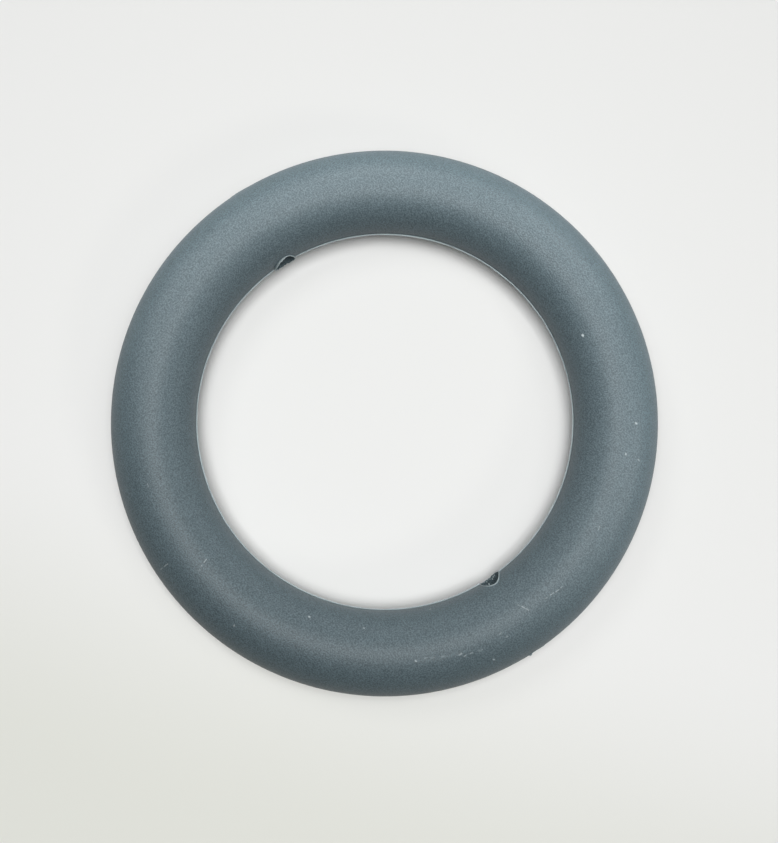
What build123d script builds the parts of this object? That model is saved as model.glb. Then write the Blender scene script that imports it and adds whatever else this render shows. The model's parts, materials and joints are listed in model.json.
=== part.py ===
"""Moulded silicone ring with a round section and two cord holes.

The ring is one piece of soft silicone rubber, moulded in a two-part mould that splits at
mid-height. A pin laid across the parting plane leaves a cord hole on each side, and both
holes lie on one diameter of the ring. Where the halves of the mould meet, a thin flash runs
round the ring's inner side, and the outer side is trimmed flush. Torn flash is left at the
mouths of the holes.

Frame: origin at the ring's centre on the surface that the ring lies on, +Z up along the
ring's own axis, X along the two cord holes. Lengths in millimetres, angles in degrees.
"""
from build123d import *
import os

os.makedirs("parts", exist_ok=True)

# Ring
outer_diameter = 65.0  # across the ring at mid-height, over the rubber and not the flash
section_diameter = 10.0  # thickness of the round section

# Parting flash round the inner side, where the halves of the mould meet
flash_height = 0.08  # how far the trimmed flash stands out of the section
flash_foot = 0.32  # its width where it leaves the section
flash_edge = 0.12  # its width at its edge

# Cord holes
cord_hole_diameter = 3.0  # bore of both holes

# Torn flash at the mouths of the holes: a lip's reach is how far it stands past the side of
# the ring, its span is the arc of the mouth that it follows, and its lean is the slope of
# its torn edge across the mouth
lip_wall = 0.30  # thickness of every lip, outwards from the bore
lip_root = 1.00  # how deep every lip is rooted in the section
near_lip_reach = 0.05  # below the bore, at the inner mouth of the +X hole
near_lip_span = 128.0
near_lip_lean = -2.0
far_lip_reach = 0.03  # below the bore, at the inner mouth of the -X hole
far_lip_span = 150.0
far_lip_lean = -3.0
tag_reach = 0.03  # at the outer mouth of the -X hole
tag_span = 12.0
tag_lean = 5.0
tag_angle = 69.0  # where the tag stands on the mouth: about the bore, from +Y up towards +Z

# Tear above the inner mouth of the -X hole, where drawing the pin took some rubber with it:
# a taper into the section that breaks into the top of the bore
tear_rise = 1.80  # from the bore's axis up to the tear's own axis
tear_offset = -0.35  # from the bore's axis to the tear's own axis, along Y
tear_mouth_diameter = 1.7
tear_end_diameter = 1.1
tear_depth = 0.95  # from the inner side of the section to its deep end

# Worked out from the sizes above
section_radius = section_diameter / 2
ring_radius = (outer_diameter - section_diameter) / 2  # from the axis to the section's centre
inner_radius = ring_radius - section_radius
outer_radius = ring_radius + section_radius
cord_hole_radius = cord_hole_diameter / 2
mid_height = section_radius


def ring_profile():
    """The round section with the flash on its inner side, to be revolved about Z."""
    # Turned so that the circle's own seam is on top, clear of the flash and the holes
    section = Pos(ring_radius, mid_height) * Rot(0, 0, 90) * Circle(section_radius)
    # The flash is rooted inside the circle, so that its foot meets the curve all round
    root = inner_radius + flash_height
    edge = inner_radius - flash_height
    flash = Polygon(
        (edge, mid_height - flash_edge / 2),
        (root, mid_height - flash_foot / 2),
        (root, mid_height + flash_foot / 2),
        (edge, mid_height + flash_edge / 2),
        align=None,
    )
    return Plane.XZ * (section + flash)


def across_x(x):
    """A sketch plane square to X at the height of the holes, with +Y right and +Z up."""
    return Plane(origin=(x, 0, mid_height), x_dir=(0, 1, 0), z_dir=(1, 0, 0))


def torn_lip(mouth_x, out, middle, reach, span, lean):
    """A lip of flash along part of a hole's mouth: an arc of a thin tube round the bore.

    mouth_x is where the mouth is, and out is the way out of it along X, 1 or -1. middle is
    the angle of the lip's middle about the bore, from +Y up towards +Z.
    """
    lip_radius = cord_hole_radius + lip_wall
    tube = Circle(lip_radius) - Circle(cord_hole_radius)
    # The wedge's sides run well past the tube, which cuts them short
    sides = [middle + turn for turn in (-span / 2, 0, span / 2)]
    corners = [Vector(section_diameter, 0).rotate(Axis.Z, side) for side in sides]
    wedge = Polygon((0, 0), *[(corner.X, corner.Y) for corner in corners], align=None)
    # The blank is long enough for any lean under 45 degrees, and is then cut off on the plane
    # of the torn edge
    root_x = mouth_x - out * lip_root
    blank = extrude(across_x(root_x) * (tube & wedge), out * (lip_root + reach + lip_radius))
    edge_plane = Plane(origin=(mouth_x + out * reach, 0, mid_height), z_dir=(out, 0, 0))
    return split(blank, bisect_by=edge_plane.rotated((0, 0, lean)), keep=Keep.BOTTOM)


def cord_hole(way):
    """The pin's bore through the +X or -X side, and on past the lips at both of its mouths."""
    overrun = section_radius
    start = across_x(way * (inner_radius - overrun))
    return extrude(start * Circle(cord_hole_radius), way * (section_diameter + 2 * overrun))


def tear():
    """A short taper from the open middle into the section, above the -X hole's inner mouth."""
    axis = Pos(tear_offset, tear_rise)
    # The wide end stands in the open middle, clear of the section's curve
    mouth = across_x(lip_wall - inner_radius) * axis * Circle(tear_mouth_diameter / 2)
    end = across_x(-inner_radius - tear_depth) * axis * Circle(tear_end_diameter / 2)
    return loft([mouth, end])


below = -90.0  # the side of a bore that both lips lie on, as an angle like the tag's

lips = [
    torn_lip(inner_radius, -1, below, near_lip_reach, near_lip_span, near_lip_lean),
    torn_lip(-inner_radius, 1, below, far_lip_reach, far_lip_span, far_lip_lean),
    torn_lip(-outer_radius, -1, tag_angle, tag_reach, tag_span, tag_lean),
]
ring = revolve(ring_profile(), Axis.Z) + lips
ring -= cord_hole(1)
ring -= cord_hole(-1) + tear()

ring.label = "ring"
export_step(ring, "parts/ring.step")
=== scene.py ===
import json
import math

import bpy
import numpy as np
from mathutils import Matrix, Vector


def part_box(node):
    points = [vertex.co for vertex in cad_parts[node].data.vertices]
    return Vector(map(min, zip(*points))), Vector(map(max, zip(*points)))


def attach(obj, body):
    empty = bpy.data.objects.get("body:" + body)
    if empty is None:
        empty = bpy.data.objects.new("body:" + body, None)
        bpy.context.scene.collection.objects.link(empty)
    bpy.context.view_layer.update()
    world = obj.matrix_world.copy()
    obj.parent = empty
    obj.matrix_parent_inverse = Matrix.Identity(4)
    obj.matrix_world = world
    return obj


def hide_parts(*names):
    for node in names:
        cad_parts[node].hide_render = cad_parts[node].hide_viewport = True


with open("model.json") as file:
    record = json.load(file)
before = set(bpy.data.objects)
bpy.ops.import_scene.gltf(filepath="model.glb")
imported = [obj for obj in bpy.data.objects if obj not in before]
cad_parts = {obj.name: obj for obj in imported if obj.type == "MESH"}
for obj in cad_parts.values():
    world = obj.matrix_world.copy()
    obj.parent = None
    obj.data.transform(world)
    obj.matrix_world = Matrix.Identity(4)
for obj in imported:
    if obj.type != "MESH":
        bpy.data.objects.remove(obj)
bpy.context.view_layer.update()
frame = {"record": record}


# ---- The ring ------------------------------------------------------------------------------
# One piece of soft silicone rubber with a round section, moulded in a mould that splits at
# mid-height. A pin across the parting plane left a cord hole through each side, torn a little
# at the inner mouths, and a thin flash runs round the inner side where the halves met.

MM = 0.001
ring_low, ring_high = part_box("ring")
section_radius = (ring_high.z - ring_low.z) / 2
mid_height = ring_low.z + section_radius
ring_radius = ring_high.y - section_radius
bore_mm = frame["record"]["mounts"][0]["dims"]["r_mm"]
bore_radius = bore_mm * MM

# The flash is a ledge: full out to one angle of the section from the parting plane, and gone
# at the next. Its trimmed edge is uneven by a share of its reach.
FLASH_REACH = 0.15 * MM
FLASH_FULL = 0.62
FLASH_GONE = 0.86
FLASH_UNEVEN = 0.16

# The outer side is trimmed flush, but for a faint witness line. It stands at a share of its
# reach, which comes and goes by another share, and it spreads over this many degrees.
WITNESS_REACH = 0.02 * MM
WITNESS_SHARE = 0.6
WITNESS_UNEVEN = 0.4
WITNESS_SPREAD = 0.9

# Rubber that stands out this far or more is a thin skin, and is coloured lighter: partly as thin
# rubber, partly as a painted highlight where its edges catch the light
THIN_FULL = 0.1 * MM

# A mouth takes the place of this many degrees of the ring and of the section each side of the
# bore's axis. The grid lines round it bend out to this many times as far, in this many steps.
MOUTH_AZIMUTH = 2.9
MOUTH_SECTION = 15.4
MOUTH_REACH = 2.6
MOUTH_LINES = 16
SLACK = 0.001  # for telling what lies right on the sides of that rectangle
CORNER_SLACK = 1e-9  # and for its corners, which count as on its upright sides

# How far the first grid lines round a mouth are from its rim. The collar of torn flash fills
# the first two gaps, the third is its steep back, and the skin dips in a groove in the next two.
RIM_LINES = np.array([0, 0.03, 0.10, 0.125, 0.20, 0.34, 0.52]) * MM
GROOVE_DEPTH = 0.04 * MM
GROOVE_FULL = 0.06 * MM  # the groove is full depth behind a collar that stands out this far
COLLAR_UNEVEN = 0.16  # how uneven a collar's torn edge is, as a share of its height


def graded(stops, cells):
    """Positions from the first stop to the last, with each stretch cut into equal cells."""
    stretches = zip(stops[:-1], stops[1:], cells)
    parts = [np.linspace(a, b, n, endpoint=False) for a, b, n in stretches]
    return np.concatenate(parts + [[stops[-1]]])


def full_turn(quarter):
    """A quarter turn's positions mirrored twice, into a whole turn from -90 up to 270 degrees."""
    half = np.concatenate([quarter[:-1], 180 - quarter[::-1]])
    return np.concatenate([-quarter[::-1][:-1], half[:-1], 180 + quarter[:-1]])


def smooth(x):
    """Rises from 0 at x = 0 to 1 at x = 1 with level ends, and is flat outside."""
    x = np.clip(x, 0, 1)
    return x * x * (3 - 2 * x)


def ripple(angle, waves, seed):
    """An uneven value along an angle, about -1 to 1: the sum of sines with the given numbers
    of waves in a turn and phases drawn from the seed, over the root of how many there are."""
    phases = np.random.default_rng(seed).uniform(0, 2 * np.pi, len(waves))
    total = sum(np.sin(wave * angle + phase) for wave, phase in zip(waves, phases))
    return total / math.sqrt(len(waves))


def round_mouth(angle, places):
    """A value at each angle round a mouth, read between given (degrees, value) places."""
    degrees, values = np.array(places, float).T
    turns = np.concatenate([degrees - 360, degrees, degrees + 360])
    return np.interp(np.degrees(angle) % 360, turns, np.tile(values, 3))


# The grid's lines are closest at the flash and round the mouths. These are the degrees from
# the parting plane and from the bores' axis where their spacing changes, and how many cells
# each stretch is cut into.
flash_stops = [0, 0.5, FLASH_FULL, FLASH_GONE, 0.98, 2.4]
section_stops = flash_stops + [MOUTH_SECTION, MOUTH_SECTION * MOUTH_REACH, 90]
section_cells = [3, 1, 2, 1, 3, 7, MOUTH_LINES, 14]
azimuth_stops = [0, MOUTH_AZIMUTH, MOUTH_AZIMUTH * MOUTH_REACH, 90]
azimuth_cells = [14, MOUTH_LINES, 48]
section_angles = full_turn(graded(section_stops, section_cells))
azimuths = full_turn(graded(azimuth_stops, azimuth_cells))
section_grid, azimuth_grid = np.meshgrid(section_angles, azimuths, indexing="ij")

# Each mouth: its azimuth, its section angle, and round it from +Y up towards +Z the radius of
# the rim and how far its collar of flash stands out of the section, both in mm. The rubber
# above the far inner mouth is torn away.
round_rim = [(0, bore_mm)]
near_inner = (
    0,
    180,
    [
        (0, 1.36),
        (30, 1.32),
        (60, 1.36),
        (85, 1.42),
        (105, 1.49),
        (122, 1.48),
        (145, 1.36),
        (170, 1.30),
        (195, 1.34),
        (225, 1.50),
        (330, 1.48),
    ],
    [
        (0, 0.20),
        (25, 0.26),
        (50, 0.28),
        (72, 0.24),
        (90, 0.18),
        (105, 0.12),
        (114, 0.07),
        (124, 0.07),
        (140, 0.12),
        (160, 0.17),
        (180, 0.18),
        (215, 0.24),
        (270, 0.26),
        (325, 0.22),
    ],
)
near_outer = (0, 0, round_rim, [(20, 0.02), (80, 0.05), (130, 0.01), (200, 0.04), (300, 0.0)])
far_inner = (
    180,
    180,
    [
        (0, 0.96),
        (22, 1.04),
        (40, 1.28),
        (56, 1.64),
        (70, 1.94),
        (82, 2.26),
        (94, 2.46),
        (104, 2.50),
        (113, 2.36),
        (123, 2.10),
        (136, 1.86),
        (150, 1.68),
        (173, 1.58),
        (200, 1.50),
        (300, 1.48),
        (330, 1.20),
    ],
    [
        (0, 0.06),
        (45, 0.07),
        (70, 0.06),
        (85, 0.09),
        (104, 0.09),
        (122, 0.08),
        (150, 0.09),
        (180, 0.12),
        (230, 0.22),
        (270, 0.16),
        (300, 0.09),
        (330, 0.05),
    ],
)
far_outer = (
    180,
    0,
    round_rim,
    [(40, 0.02), (60, 0.03), (66, 0.25), (72, 0.25), (78, 0.03), (220, 0.03)],
)


def on_section(section, azimuth):
    """Where a place on the ring lies along X, along Y and above mid-height: at the ring's
    radius plus the section's radius times the cosine of the section angle from the ring's
    axis, and the section's radius times its sine above mid-height."""
    section, azimuth = np.radians(section), np.radians(azimuth)
    out = ring_radius + section_radius * np.cos(section)
    return out * np.cos(azimuth), out * np.sin(azimuth), section_radius * np.sin(section)


def ring_points():
    """The grid of points on the ring's surface, collars and flash.

    Each point starts at its own angles. Round a mouth the rectangle of grid lines is bent, so
    that its innermost one follows the rim: the point's angle about the bore comes from its
    place along the rectangle's side, and its radius is the rim's plus a distance for each
    grid line, which grows until the outermost line is back at its own place. Every point is
    then put out at the section's surface, and further by the collar or the flash there. Also
    gives each point's share of thin skin: how far it stands out over the full thin skin's
    height, up to 1.
    """
    _, across, height = on_section(section_grid, azimuth_grid)
    round_ring = np.radians(azimuth_grid)
    from_inner = np.abs(section_grid - 180)
    ledge = np.clip((FLASH_GONE - from_inner) / (FLASH_GONE - FLASH_FULL), 0, 1)
    trim = 1 + FLASH_UNEVEN * ripple(round_ring, (3, 7, 13, 31, 57, 83), 7)
    stand_out = FLASH_REACH * trim * ledge
    worn = WITNESS_SHARE + WITNESS_UNEVEN * ripple(round_ring, (3, 5, 12, 21, 44), 9)
    stand_out += WITNESS_REACH * worn * np.exp(-((section_grid / WITNESS_SPREAD) ** 2))
    for mouth_azimuth, mouth_section, rim_places, collar_places in (
        near_inner,
        near_outer,
        far_inner,
        far_outer,
    ):
        along_y = math.copysign(1, math.cos(math.radians(mouth_azimuth)))
        along_z = math.copysign(1, math.cos(math.radians(mouth_section)))
        xi = along_y * (azimuth_grid - mouth_azimuth) / MOUTH_AZIMUTH
        eta = along_z * (section_grid - mouth_section) / MOUTH_SECTION
        size = np.maximum(np.abs(xi), np.abs(eta))
        near = (size < MOUTH_REACH - SLACK) & (size > 1 - SLACK)
        xi, eta, size = xi[near], eta[near], size[near]
        # Even steps along a side of the rectangle are even turns about the bore
        upright = np.abs(xi) >= np.abs(eta) - CORNER_SLACK
        side_turn = eta / np.where(upright, xi, 1) + np.where(xi < 0, 4, 0)
        top_turn = 2 - xi / np.where(upright, 1, eta) + np.where(eta < 0, 4, 0)
        angle = np.pi / 4 * np.where(upright, side_turn, top_turn)
        rim = round_mouth(angle, rim_places) * MM
        end_section = mouth_section + along_z * eta * MOUTH_SECTION * MOUTH_REACH / size
        end_azimuth = mouth_azimuth + along_y * xi * MOUTH_AZIMUTH * MOUTH_REACH / size
        _, end_across, end_height = on_section(end_section, end_azimuth)
        end_radius = np.hypot(end_across, end_height)
        turn = np.arctan2(end_height, end_across) - angle
        turn = (turn + np.pi) % (2 * np.pi) - np.pi
        line = (size - 1) / (MOUTH_REACH - 1) * MOUTH_LINES
        close = np.interp(line, np.arange(len(RIM_LINES)), RIM_LINES)
        share = (line - len(RIM_LINES) + 1) / (MOUTH_LINES - len(RIM_LINES) + 1)
        wide = (end_radius - rim - RIM_LINES[-1]) * np.clip(share, 0, 1)
        radius = rim + close + wide
        angle = angle + turn * smooth(line / MOUTH_LINES)
        across[near] = radius * np.cos(angle)
        height[near] = radius * np.sin(angle)
        torn_edge = ripple(angle, (7, 11, 17, 23), mouth_azimuth + mouth_section)
        collar = round_mouth(angle, collar_places) * MM
        collar *= 1 + COLLAR_UNEVEN * torn_edge
        back = 1 - np.clip((close - RIM_LINES[2]) / (RIM_LINES[3] - RIM_LINES[2]), 0, 1)
        groove = GROOVE_DEPTH * np.interp(close, RIM_LINES[3:6], [0, 1, 0])
        groove *= np.clip(collar / GROOVE_FULL, 0, 1)
        stand_out[near] = np.maximum(stand_out[near], collar * back) - groove
    outward = np.where(np.cos(np.radians(section_grid)) > 0, 1.0, -1.0)
    facing = np.where(np.cos(round_ring) > 0, 1.0, -1.0)
    surface = ring_radius + outward * np.sqrt(np.maximum(section_radius**2 - height**2, 0))
    surface = np.maximum(surface + outward * stand_out, np.abs(across))
    along = facing * np.sqrt(surface**2 - across**2)
    # This share also sets the lighter colour of thin skin, which is partly a painted highlight
    thin_and_highlight = np.clip(stand_out / THIN_FULL, 0, 1)
    return np.stack([along, across, mid_height + height], axis=-1), thin_and_highlight


def within_mouth(mouth):
    """Which grid lines of each kind run through a mouth's rectangle or along its sides."""
    lines_across = np.abs(section_angles - mouth[1]) < MOUTH_SECTION * (1 + SLACK)
    lines_along = np.abs(azimuths - mouth[0]) < MOUTH_AZIMUTH * (1 + SLACK)
    return lines_across, lines_along


def rim_loop(mouth):
    """The grid places round a mouth, from +Y up towards +Z, as rows and columns."""
    rows, columns = (np.flatnonzero(lines) for lines in within_mouth(mouth))
    if mouth[1] == 180:
        rows = rows[::-1]
    if mouth[0] == 180:
        columns = columns[::-1]
    sides = [
        [(row, columns[-1]) for row in rows[:-1]],
        [(rows[-1], column) for column in columns[:0:-1]],
        [(row, columns[0]) for row in rows[:0:-1]],
        [(rows[0], column) for column in columns[:-1]],
    ]
    loop = np.array(sum(sides, []))
    loop = np.roll(loop, -(len(rows) // 2), axis=0)
    return loop[:, 0], loop[:, 1]


# An uneven rim settles into the round bore over this far
NEAR_SETTLE = 0.4 * MM
FAR_SETTLE = 0.95 * MM
OUTER_SETTLE = 0.1 * MM

# The loops of points along a bore are closest at its mouths: the shares of its length where
# their spacing changes, and how many cells each stretch is cut into
BORE_STOPS = [0, 0.012, 0.03, 0.12, 0.9, 0.985, 1]
BORE_CELLS = [3, 4, 9, 20, 6, 4]


def bore_wall(inner_rim, outer_rim, shares, settle):
    """Loops of points along a bore, at each share of the way from the inner rim to the outer.
    The radius starts at each rim's and settles smoothly into the bore's own, and the angle
    about the bore goes evenly from one rim's to the other's."""
    along = inner_rim[:, 0] + (outer_rim[:, 0] - inner_rim[:, 0]) * shares[:, None]
    inner_y, inner_z = inner_rim[:, 1], inner_rim[:, 2] - mid_height
    outer_y, outer_z = outer_rim[:, 1], outer_rim[:, 2] - mid_height
    inner_turn = np.unwrap(np.arctan2(inner_z, inner_y))
    outer_turn = np.unwrap(np.arctan2(outer_z, outer_y))
    angle = inner_turn + (outer_turn - inner_turn) * shares[:, None]
    inner_extra = np.hypot(inner_y, inner_z) - bore_radius
    outer_extra = np.hypot(outer_y, outer_z) - bore_radius
    from_inner = np.abs(along - inner_rim[:, 0])
    from_outer = np.abs(along - outer_rim[:, 0])
    radius = bore_radius + inner_extra * (1 - smooth(from_inner / settle))
    radius += outer_extra * (1 - smooth(from_outer / OUTER_SETTLE))
    return np.stack([along, radius * np.cos(angle), mid_height + radius * np.sin(angle)], -1)


def ring_mesh():
    """The ring as one closed surface: the grid without its mouths, and the walls of the two
    bores between them. Also gives each point's share of thin skin and of bore wall."""
    points, thin_and_highlight = ring_points()
    index = np.arange(points[..., 0].size).reshape(section_grid.shape)
    up, along = np.roll(index, -1, 0), np.roll(index, -1, 1)
    quads = np.stack([index, along, np.roll(up, -1, 1), up], axis=-1)
    kept = np.ones(index.shape, bool)
    for mouth in (near_inner, near_outer, far_inner, far_outer):
        lines_across, lines_along = within_mouth(mouth)
        inside = lines_across[:, None] & lines_along[None, :]
        kept &= ~(inside & np.roll(inside, -1, 0) & np.roll(inside, -1, 1))
    faces = [quads[kept]]
    parts = [points.reshape(-1, 3)]
    count = index.size
    shares = graded(BORE_STOPS, BORE_CELLS)[1:-1]
    for inner, outer, settle in (
        (near_inner, near_outer, NEAR_SETTLE),
        (far_inner, far_outer, FAR_SETTLE),
    ):
        first, last = rim_loop(inner), rim_loop(outer)
        wall = bore_wall(points[first], points[last], shares, settle)
        wall_index = count + np.arange(wall[..., 0].size).reshape(wall.shape[:2])
        count += wall_index.size
        parts.append(wall.reshape(-1, 3))
        loops = np.concatenate([index[first][None], wall_index, index[last][None]])
        ahead = np.roll(loops, -1, axis=1)
        turn = [loops[:-1], ahead[:-1], ahead[1:], loops[1:]]
        faces.append(np.stack(turn if inner[0] == 180 else turn[::-1], -1).reshape(-1, 4))
    walls = np.repeat([0.0, 1.0], [index.size, count - index.size])
    thin_and_highlight = np.concatenate([thin_and_highlight.ravel(), np.zeros(count - index.size)])
    return np.concatenate(parts), np.concatenate(faces), {"thin_and_highlight": thin_and_highlight, "bore": walls}


SHARP_EDGE = 40  # edges that turn by more degrees than this are shaded sharp


def mesh_object(name, points, faces, shares):
    """A mesh object at the origin, smooth but for its sharp edges, with each kind of share at
    its points as an attribute. Points that no face uses are left out."""
    used, faces = np.unique(faces, return_inverse=True)
    mesh = bpy.data.meshes.new(name)
    mesh.from_pydata(points[used].tolist(), [], faces.reshape(-1, 4).tolist())
    mesh.shade_smooth()
    mesh.set_sharp_from_angle(angle=math.radians(SHARP_EDGE))
    for kind, share in shares.items():
        mesh.attributes.new(kind, "FLOAT", "POINT").data.foreach_set("value", share[used])
    piece = bpy.data.objects.new(name, mesh)
    bpy.context.scene.collection.objects.link(piece)
    return piece


ring = mesh_object("silicone_ring", *ring_mesh())


# Its material: satin rubber of a dark blue grey, matt in the bores, with the fine grain of a
# blasted mould, a few specks of dust and light scuffs. The grain's hollows carry painted shade
# and its peaks painted light. Thin skin is coloured lighter, partly as thin rubber and partly as
# a painted highlight on the edges that catch the light.

SPECULAR = 0.3
SKIN_ROUGHNESS = 0.5
BORE_ROUGHNESS = 0.95
# The grain's hollows, with painted shade, and its peaks, with painted light, each from the
# darkest clouds of the rubber to the lightest
SHADED_HOLLOW_COLOURS = [(0.037, 0.053, 0.060, 1), (0.047, 0.065, 0.073, 1)]
LIT_PEAK_COLOURS = [(0.074, 0.104, 0.118, 1), (0.090, 0.123, 0.139, 1)]
THIN_AND_HIGHLIGHT_COLOUR = (0.26, 0.31, 0.32, 1)
DARK_MARK = (0.012, 0.014, 0.016, 1)
LIGHT_MARK = (0.50, 0.55, 0.56, 1)

# The scales of the noises for grain and clouds, in waves to the metre
GRAIN_SCALE = 6200.0
CLOUD_SCALE = 900.0
GRAIN_DEPTH = 0.03 * MM
# The grain's noise takes the painted shade of a hollow below the first of these values and the
# painted light of a peak above the second
HOLLOW_BELOW = 0.32
PEAK_ABOVE = 0.68

silicone = bpy.data.materials.new("silicone")
silicone.use_nodes = True
silicone_nodes = silicone.node_tree.nodes
silicone_links = silicone.node_tree.links
shader = silicone_nodes["Principled BSDF"]
shader.inputs["Specular IOR Level"].default_value = SPECULAR


def group_node(tree, kind, settings, links):
    """Adds a node of a kind, with its settings as attributes, and its inputs by place: a
    value is set on the input, and a socket is linked to it."""
    node = tree.nodes.new(kind)
    for name, value in settings.items():
        setattr(node, name, value)
    for place, value in links.items():
        if isinstance(value, bpy.types.NodeSocket):
            tree.links.new(value, node.inputs[place])
        else:
            node.inputs[place].default_value = value
    return node


# The mark group puts out a mask that is as high as Strength on a stroke from Start to End, and
# fades out at Half Width from it: one less the distance over the half width, to a power that
# fills it out. The distance is first multiplied by a noise times a spread plus a least value,
# so that no stroke has a clean edge.
MARK_NOISE_SCALE = 5000.0
MARK_LEAST = 0.2
MARK_SPREAD = 1.6
MARK_POWER = 0.7
mark_group = bpy.data.node_groups.new("Mark", "ShaderNodeTree")
mark_face = mark_group.interface
for socket in ("Start", "End"):
    mark_face.new_socket(socket, in_out="INPUT", socket_type="NodeSocketVector")
for socket in ("Half Width", "Strength"):
    mark_face.new_socket(socket, in_out="INPUT", socket_type="NodeSocketFloat")
mark_face.new_socket("Mask", in_out="OUTPUT", socket_type="NodeSocketFloat")
given = mark_group.nodes.new("NodeGroupInput")
place = mark_group.nodes.new("ShaderNodeTexCoord").outputs["Object"]


def vector_math(operation, first, second):
    """A vector node's outputs inside the mark group."""
    settings = {"operation": operation}
    return group_node(mark_group, "ShaderNodeVectorMath", settings, {0: first, 1: second}).outputs


def plain_math(operation, first, second, clamp=False):
    """A value node's output inside the mark group."""
    settings = {"operation": operation, "use_clamp": clamp}
    return group_node(mark_group, "ShaderNodeMath", settings, {0: first, 1: second}).outputs[0]


from_start = vector_math("SUBTRACT", place, given.outputs["Start"])["Vector"]
stroke = vector_math("SUBTRACT", given.outputs["End"], given.outputs["Start"])["Vector"]
reach = vector_math("DOT_PRODUCT", from_start, stroke)["Value"]
length = vector_math("DOT_PRODUCT", stroke, stroke)["Value"]
share = plain_math("DIVIDE", reach, length, clamp=True)
scaled = group_node(
    mark_group, "ShaderNodeVectorMath", {"operation": "SCALE"}, {"Vector": stroke, "Scale": share}
).outputs["Vector"]
aside = vector_math("DISTANCE", from_start, scaled)["Value"]
uneven = group_node(
    mark_group,
    "ShaderNodeTexNoise",
    {},
    {"Vector": place, "Scale": MARK_NOISE_SCALE, "Detail": 1.0},
).outputs["Fac"]
uneven = plain_math("MULTIPLY", uneven, MARK_SPREAD)
uneven = plain_math("ADD", uneven, MARK_LEAST)
aside = plain_math("MULTIPLY", aside, uneven)
edge = plain_math("DIVIDE", aside, given.outputs["Half Width"])
mask = plain_math("SUBTRACT", 1.0, edge, clamp=True)
mask = plain_math("POWER", mask, MARK_POWER)
mask = plain_math("MULTIPLY", mask, given.outputs["Strength"])
mark_out = mark_group.nodes.new("NodeGroupOutput")
mark_group.links.new(mask, mark_out.inputs["Mask"])

# Where the marks are on the rubber and how they run: the azimuth and the section angle of the
# start, the length in mm, the turn from the way round the ring to the way over its section, the
# half width in mm and the strength. Light ones are dust and scuffs, and dark ones are specks
# under the surface.
light_marks = [
    (-100, 121, 0.10, 40, 0.16, 0.75),
    (-124, 72, 0.10, 70, 0.14, 0.50),
    (-131.5, 84, 0.10, 0, 0.12, 0.40),
    (-132, 65, 0.25, -135, 0.09, 0.24),
    (126.5, 126, 0.05, 0, 0.14, 0.55),
    (141.5, 129, 0.05, 0, 0.12, 0.38),
    (111.5, 66, 0.10, 90, 0.12, 0.36),
    (171.5, 53, 0.10, 120, 0.13, 0.50),
    (154.5, 83, 0.10, 150, 0.13, 0.45),
    (155, 83, 2.50, -5, 0.34, 0.03),
    (159.5, 81, 2.60, 0, 0.32, 0.04),
    (91.5, 58, 0.75, -90, 0.08, 0.30),
    (91.5, 45, 0.45, -90, 0.08, 0.22),
    (96, 105, 0.45, -75, 0.08, 0.30),
    (96.5, 96, 0.20, -75, 0.07, 0.22),
    (97, 90, 0.20, -80, 0.07, 0.15),
    (-170, 87, 0.50, -10, 0.08, 0.26),
    (-168.5, 85, 0.40, -10, 0.08, 0.30),
    (-167, 84, 0.25, -10, 0.07, 0.24),
    (-171.5, 88, 0.30, -10, 0.07, 0.16),
    (-177, 99, 0.35, -65, 0.08, 0.30),
    (-176.5, 94, 0.35, -70, 0.08, 0.26),
    (-177.5, 104, 0.20, -70, 0.07, 0.14),
    (-150.5, 88, 0.40, 15, 0.07, 0.22),
    (74, 80, 0.35, 180, 0.07, 0.24),
    (156.5, 85, 0.30, 10, 0.10, 0.16),
    (158, 84, 0.40, 0, 0.11, 0.14),
    (160.5, 83, 0.35, 0, 0.10, 0.16),
    (164.5, 79, 0.30, 15, 0.12, 0.34),
    (165.5, 75, 0.20, 15, 0.11, 0.30),
    (167, 76, 0.30, 0, 0.10, 0.20),
    (169, 75, 0.50, 0, 0.10, 0.14),
    (175, 84, 0.25, 5, 0.10, 0.18),
    (176, 76, 0.20, 5, 0.10, 0.18),
    (160.5, 158, 0.05, 60, 0.12, 0.35),
]
dark_marks = [
    (73, 98, 0.05, 145, 0.15, 0.70),
    (56, 98, 0.05, -25, 0.14, 0.60),
    (56, 136, 0.05, 80, 0.15, 0.60),
    (126, 83, 0.05, 180, 0.14, 0.60),
]


def stroke_ends(azimuth, section, length, turn):
    """The two ends of a stroke on the rubber. The part of its length that runs round the ring
    is divided by the start's distance from the ring's axis, and the part that runs over the
    section by the section's radius, to give the end's two angles."""
    turn = math.radians(turn)
    out = ring_radius + section_radius * math.cos(math.radians(section))
    end_azimuth = azimuth + math.degrees(length * math.cos(turn) / out)
    end_section = section + math.degrees(length * math.sin(turn) / section_radius)
    places = [on_section(section, azimuth), on_section(end_section, end_azimuth)]
    return [Vector((along, across, mid_height + height)) for along, across, height in places]


def all_marks(marks):
    """The socket with the strongest mask of all the marks at each place."""
    strongest = 0.0
    for azimuth, section, length, turn, half_width, strength in marks:
        start, end = stroke_ends(azimuth, section, length * MM, turn)
        inputs = {"Start": start, "End": end, "Half Width": half_width * MM, "Strength": strength}
        settings = {"node_tree": mark_group}
        mark = group_node(silicone.node_tree, "ShaderNodeGroup", settings, inputs)
        strongest = group_node(
            silicone.node_tree,
            "ShaderNodeMath",
            {"operation": "MAXIMUM"},
            {0: strongest, 1: mark.outputs["Mask"]},
        ).outputs[0]
    return strongest


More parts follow.
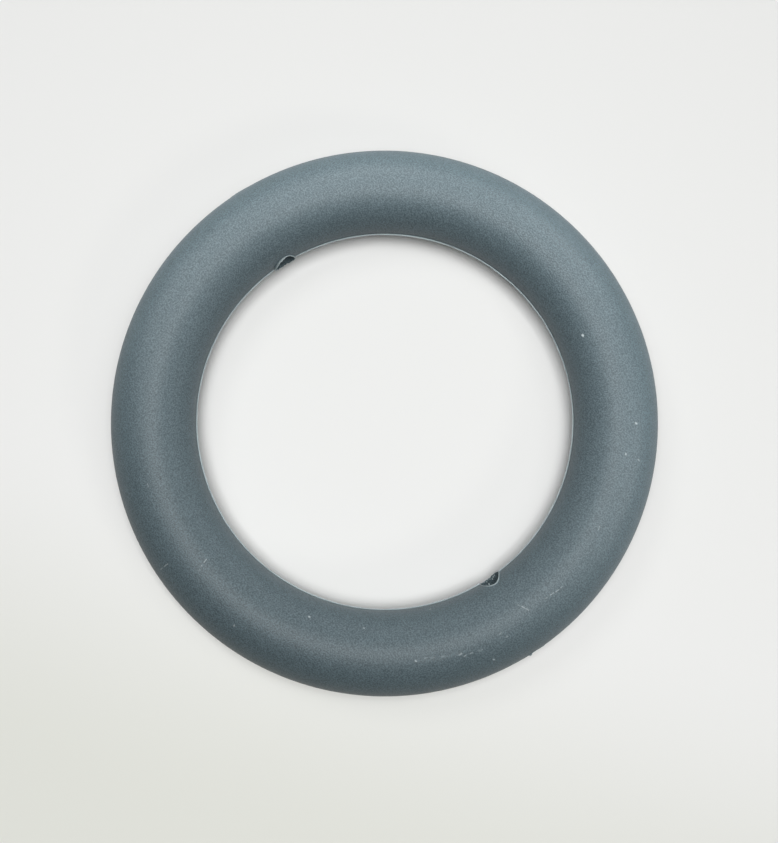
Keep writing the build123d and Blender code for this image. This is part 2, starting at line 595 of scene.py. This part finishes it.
object_place = silicone_nodes.new("ShaderNodeTexCoord").outputs["Object"]
grain = group_node(
    silicone.node_tree,
    "ShaderNodeTexNoise",
    {},
    {"Vector": object_place, "Scale": GRAIN_SCALE, "Detail": 1.0, "Roughness": 0.5},
).outputs["Fac"]
grain_bump = group_node(
    silicone.node_tree,
    "ShaderNodeBump",
    {},
    {"Strength": 1.0, "Distance": GRAIN_DEPTH, "Height": grain},
).outputs["Normal"]
silicone_links.new(grain_bump, shader.inputs["Normal"])

cloudy = group_node(
    silicone.node_tree,
    "ShaderNodeTexNoise",
    {},
    {"Vector": object_place, "Scale": CLOUD_SCALE, "Detail": 3.0, "Roughness": 0.6},
).outputs["Fac"]


def blend(factor, first, second):
    """The colour part way from the first colour to the second, by a factor socket."""
    settings = {"data_type": "RGBA"}
    inputs = {"Factor": factor, 6: first, 7: second}
    return group_node(silicone.node_tree, "ShaderNodeMix", settings, inputs).outputs[2]


def share_at_points(kind):
    """The socket of a share that the mesh keeps at its points, by its kind."""
    settings = {"attribute_name": kind}
    return group_node(silicone.node_tree, "ShaderNodeAttribute", settings, {}).outputs["Fac"]


# The grain's colour: painted shade in its hollows and painted light on its peaks, following the
# same noise as the bump
grain_light_and_shade = group_node(
    silicone.node_tree,
    "ShaderNodeMapRange",
    {},
    {"Value": grain, "From Min": HOLLOW_BELOW, "From Max": PEAK_ABOVE},
).outputs["Result"]
colour = blend(grain_light_and_shade, blend(cloudy, *SHADED_HOLLOW_COLOURS), blend(cloudy, *LIT_PEAK_COLOURS))
# Thin skin is lighter: partly thin rubber, partly a painted highlight on the edges that catch the
# light
colour = blend(share_at_points("thin_and_highlight"), colour, THIN_AND_HIGHLIGHT_COLOUR)
colour = blend(all_marks(dark_marks), colour, DARK_MARK)
colour = blend(all_marks(light_marks), colour, LIGHT_MARK)
silicone_links.new(colour, shader.inputs["Base Color"])

# The skin is satin, and the bores are matt where the pin was drawn out
roughness = group_node(
    silicone.node_tree,
    "ShaderNodeMix",
    {"data_type": "FLOAT"},
    {"Factor": share_at_points("bore"), 2: SKIN_ROUGHNESS, 3: BORE_ROUGHNESS},
).outputs[0]
silicone_links.new(roughness, shader.inputs["Roughness"])
ring.data.materials.append(silicone)

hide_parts("ring")
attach(ring, "root")


# ---- The torn crumbs -----------------------------------------------------------------------
# A few crumbs and shreds of the same rubber, left hanging in the torn mouth of the far hole.
# Each is a small uneven lump that stands in the wall of the bore or of the tear.

# Each crumb: its middle along X, along Y and above mid-height, and its half sizes, all in mm,
# and the angle in radians that turns it and sets where its bumps are
crumbs = [
    ((-22.56, -1.00, -1.00), (0.07, 0.06, 0.09), 2.2),
    ((-22.66, -0.80, -1.16), (0.09, 0.06, 0.11), 3.1),
    ((-22.84, -0.60, -1.28), (0.09, 0.07, 0.09), 1.3),
    ((-22.70, -0.34, -1.36), (0.07, 0.06, 0.08), 5.3),
    ((-22.62, -0.10, -1.40), (0.08, 0.06, 0.07), 0.4),
    ((-22.76, 0.14, -1.40), (0.08, 0.07, 0.07), 0.9),
    ((-22.62, 0.42, -1.32), (0.07, 0.06, 0.08), 4.4),
    ((-22.84, 0.22, 1.60), (0.09, 0.06, 0.07), 6.0),
]


CRUMB_UNEVEN = 0.16
CRUMB_LATITUDES = 15
CRUMB_LONGITUDES = 24


def crumb_mesh(crumb_list):
    """Closed lumps. Each is a ball of rings of latitude between two poles, whose radius is
    made uneven by a sine along each axis, stretched to its half sizes, and turned about X by
    1.7 times its angle and then about Z by the angle itself."""
    latitudes = np.linspace(-np.pi / 2, np.pi / 2, CRUMB_LATITUDES)[1:-1]
    longitudes = np.linspace(0, 2 * np.pi, CRUMB_LONGITUDES, endpoint=False)
    latitude, longitude = np.meshgrid(latitudes, longitudes, indexing="ij")
    ball = np.stack(
        [
            np.cos(latitude) * np.cos(longitude),
            np.cos(latitude) * np.sin(longitude),
            np.sin(latitude),
        ],
        -1,
    ).reshape(-1, 3)
    poles = np.array([[0, 0, -1], [0, 0, 1.0]])
    ball = np.concatenate([ball, poles])
    wide, high = latitude.shape[1], latitude.shape[0]
    index = np.arange(wide * high).reshape(high, wide)
    beside = np.roll(index, -1, 1)
    quads = np.stack([index[:-1], beside[:-1], beside[1:], index[1:]], -1).reshape(-1, 4)
    bottom, top = wide * high, wide * high + 1
    low_cap = [(bottom, int(b), int(a)) for a, b in zip(index[0], beside[0])]
    high_cap = [(top, int(a), int(b)) for a, b in zip(index[-1], beside[-1])]
    points, faces = [], []
    for number, (middle, half_sizes, twist) in enumerate(crumb_list):
        bumps = np.sin(5 * ball[:, 0] + twist * 3) + np.sin(7 * ball[:, 1] + twist * 5)
        bumps += np.sin(6 * ball[:, 2] + twist * 7)
        lump = ball * (1 + CRUMB_UNEVEN * bumps)[:, None] * np.array(half_sizes)
        turned = Matrix.Rotation(twist, 3, "Z") @ Matrix.Rotation(twist * 1.7, 3, "X")
        lump = lump @ np.array(turned).T + np.array(middle)
        points.append(lump * MM + np.array([0, 0, mid_height]))
        start = number * len(ball)
        faces += [tuple(start + corner for corner in face) for face in quads.tolist()]
        faces += [tuple(start + corner for corner in face) for face in low_cap + high_cap]
    return np.concatenate(points), faces


crumb_points, crumb_faces = crumb_mesh(crumbs)
crumb_data = bpy.data.meshes.new("torn_crumbs")
crumb_data.from_pydata(crumb_points.tolist(), [], crumb_faces)
crumb_data.shade_smooth()
# The crumbs take the full lighter colour of thin skin, which is partly a painted highlight
crumb_data.attributes.new("thin_and_highlight", "FLOAT", "POINT").data.foreach_set(
    "value", np.ones(len(crumb_points))
)
torn_crumbs = bpy.data.objects.new("torn_crumbs", crumb_data)
bpy.context.scene.collection.objects.link(torn_crumbs)
torn_crumbs.data.materials.append(silicone)
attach(torn_crumbs, "root")


# ---- The floor -----------------------------------------------------------------------------
# A sheet of white card that the ring lies on, large enough to fill the view from every side.
# It is a little warmer and duller towards the near left of the view: painted shade, with the warm
# tint of the light on that side.

VIEW_TURN = -122.5  # degrees about Z, from +Y to the way that the camera's top points
CARD_COLOUR = (0.80, 0.80, 0.79, 1)
NEAR_SHADE_COLOUR = (0.705, 0.71, 0.662, 1)
SEEN_COLOUR = (0.84, 0.84, 0.83, 1)
# How far along the way to the near left the card's painted shade starts and ends its change, and
# how far from the ring's axis the evenly pale colour that the camera sees sets in and is full
NEAR_START = 0.014
NEAR_END = 0.053
SEEN_START = 0.072
SEEN_FULL = 0.16

view_turn = Matrix.Rotation(math.radians(VIEW_TURN), 4, "Z")
floor_half = 3.0
floor_mesh = bpy.data.meshes.new("floor")
floor_corners = [(-1, -1), (1, -1), (1, 1), (-1, 1)]
floor_mesh.from_pydata(
    [(x * floor_half, y * floor_half, 0) for x, y in floor_corners], [], [(0, 1, 2, 3)]
)
floor = bpy.data.objects.new("floor", floor_mesh)
bpy.context.scene.collection.objects.link(floor)
card = bpy.data.materials.new("card")
card.use_nodes = True
card_tree = card.node_tree
card_shader = card_tree.nodes["Principled BSDF"]
card_shader.inputs["Roughness"].default_value = 0.9
# How far along this line, towards the near left of the view, a place on the card is, for its
# painted shade
near_side = view_turn @ Vector((-0.3, -0.95, 0))
card_place = card_tree.nodes.new("ShaderNodeTexCoord").outputs["Object"]
near_shade = group_node(
    card_tree,
    "ShaderNodeVectorMath",
    {"operation": "DOT_PRODUCT"},
    {0: card_place, 1: near_side},
).outputs["Value"]
near_shade = group_node(
    card_tree,
    "ShaderNodeMapRange",
    {"interpolation_type": "SMOOTHSTEP"},
    {"Value": near_shade, "From Min": NEAR_START, "From Max": NEAR_END},
).outputs["Result"]
# Painted shade: the card's colour turns warmer and darker towards the near left of the view
card_colour = group_node(
    card_tree,
    "ShaderNodeMix",
    {"data_type": "RGBA"},
    {"Factor": near_shade, 6: CARD_COLOUR, 7: NEAR_SHADE_COLOUR},
).outputs[2]
card_tree.links.new(card_colour, card_shader.inputs["Base Color"])
# Far from the ring the camera sees the card as evenly pale, to the horizon
away = group_node(
    card_tree, "ShaderNodeVectorMath", {"operation": "LENGTH"}, {0: card_place}
).outputs["Value"]
away = group_node(
    card_tree,
    "ShaderNodeMapRange",
    {"interpolation_type": "SMOOTHSTEP"},
    {"Value": away, "From Min": SEEN_START, "From Max": SEEN_FULL},
).outputs["Result"]
seen = card_tree.nodes.new("ShaderNodeLightPath").outputs["Is Camera Ray"]
seen_away = group_node(
    card_tree, "ShaderNodeMath", {"operation": "MULTIPLY"}, {0: away, 1: seen}
).outputs[0]
pale = group_node(
    card_tree, "ShaderNodeEmission", {}, {"Color": SEEN_COLOUR, "Strength": 1.0}
).outputs[0]
card_mix = group_node(
    card_tree, "ShaderNodeMixShader", {}, {0: seen_away, 1: card_shader.outputs[0], 2: pale}
).outputs[0]
card_tree.links.new(card_mix, card_tree.nodes["Material Output"].inputs["Surface"])
floor.data.materials.append(card)


# ---- The light -----------------------------------------------------------------------------
# A soft panel overhead, weaker ones round it, and four small lamps close round the far half
# of the ring, which light the rubber and leave the card alone.

PANEL_SIZE = 0.2
LAMP_SIZE = 0.05
ROOM_LIGHT = 0.02


def soft_panel(name, place, size, power, colour):
    """A square area light that faces down, at a place seen from the camera's side."""
    light = bpy.data.lights.new(name, "AREA")
    light.shape = "SQUARE"
    light.size = size
    light.energy = power
    light.color = colour
    panel = bpy.data.objects.new(name, light)
    panel.location = view_turn @ Vector(place)
    bpy.context.scene.collection.objects.link(panel)
    return panel


soft_panel("top_panel", (0, -0.01, 0.45), PANEL_SIZE, 1.85, (1, 1, 1))
soft_panel("left_panel", (-0.2, 0.2, 0.45), PANEL_SIZE, 0.33, (0.97, 1, 1))
soft_panel("right_panel", (0.2, 0, 0.45), PANEL_SIZE, 0.2, (0.97, 1, 1))
soft_panel("front_panel", (0.4, -0.4, 0.45), PANEL_SIZE, 0.5, (1, 1, 0.93))
lit = bpy.data.collections.new("lit_by_near_lamps")
lit.objects.link(ring)
lit.objects.link(torn_crumbs)
near_lamps = [
    ("near_lamp_left", (-0.060, 0.050, 0.05), 0.045),
    ("near_lamp_far", (-0.005, 0.080, 0.05), 0.062),
    ("near_lamp_corner", (0.055, 0.060, 0.05), 0.065),
    ("near_lamp_right", (0.080, -0.015, 0.05), 0.050),
]
for name, place, power in near_lamps:
    lamp = soft_panel(name, place, LAMP_SIZE, power, (1, 1, 1))
    lamp.light_linking.receiver_collection = lit

# The room is dim, and is seen as the same pale grey as the card's far side
world = bpy.data.worlds.new("room")
bpy.context.scene.world = world
world.use_nodes = True
room = world.node_tree
seen = room.nodes.new("ShaderNodeLightPath").outputs["Is Camera Ray"]
brightness = group_node(
    room, "ShaderNodeMix", {"data_type": "FLOAT"}, {"Factor": seen, 2: ROOM_LIGHT, 3: 1.0}
).outputs[0]
room.nodes["Background"].inputs["Color"].default_value = SEEN_COLOUR
room.links.new(brightness, room.nodes["Background"].inputs["Strength"])


# ---- The camera ----------------------------------------------------------------------------
# Close above the ring and nearly square to it, turned so that the near hole is up and left. It
# stands a little to the near side and to the left, by these angles in radians.

TILT = 0.07283
LEAN = -0.01710
# Its place on axes turned by those angles: across, up and away from the ring's middle
PLACE = (0.44 * MM, -0.196 * MM, 150 * MM)

camera = bpy.data.objects.new("camera", bpy.data.cameras.new("camera"))
camera.data.lens = 53.75
camera.data.sensor_width = 36
camera.data.clip_start = 0.01
camera.matrix_world = (
    Matrix.Translation((0, 0, mid_height))
    @ view_turn
    @ Matrix.Rotation(TILT, 4, "X")
    @ Matrix.Rotation(LEAN, 4, "Y")
    @ Matrix.Translation(PLACE)
)
bpy.context.scene.collection.objects.link(camera)
bpy.context.scene.camera = camera
bpy.context.scene.view_settings.view_transform = "Standard"
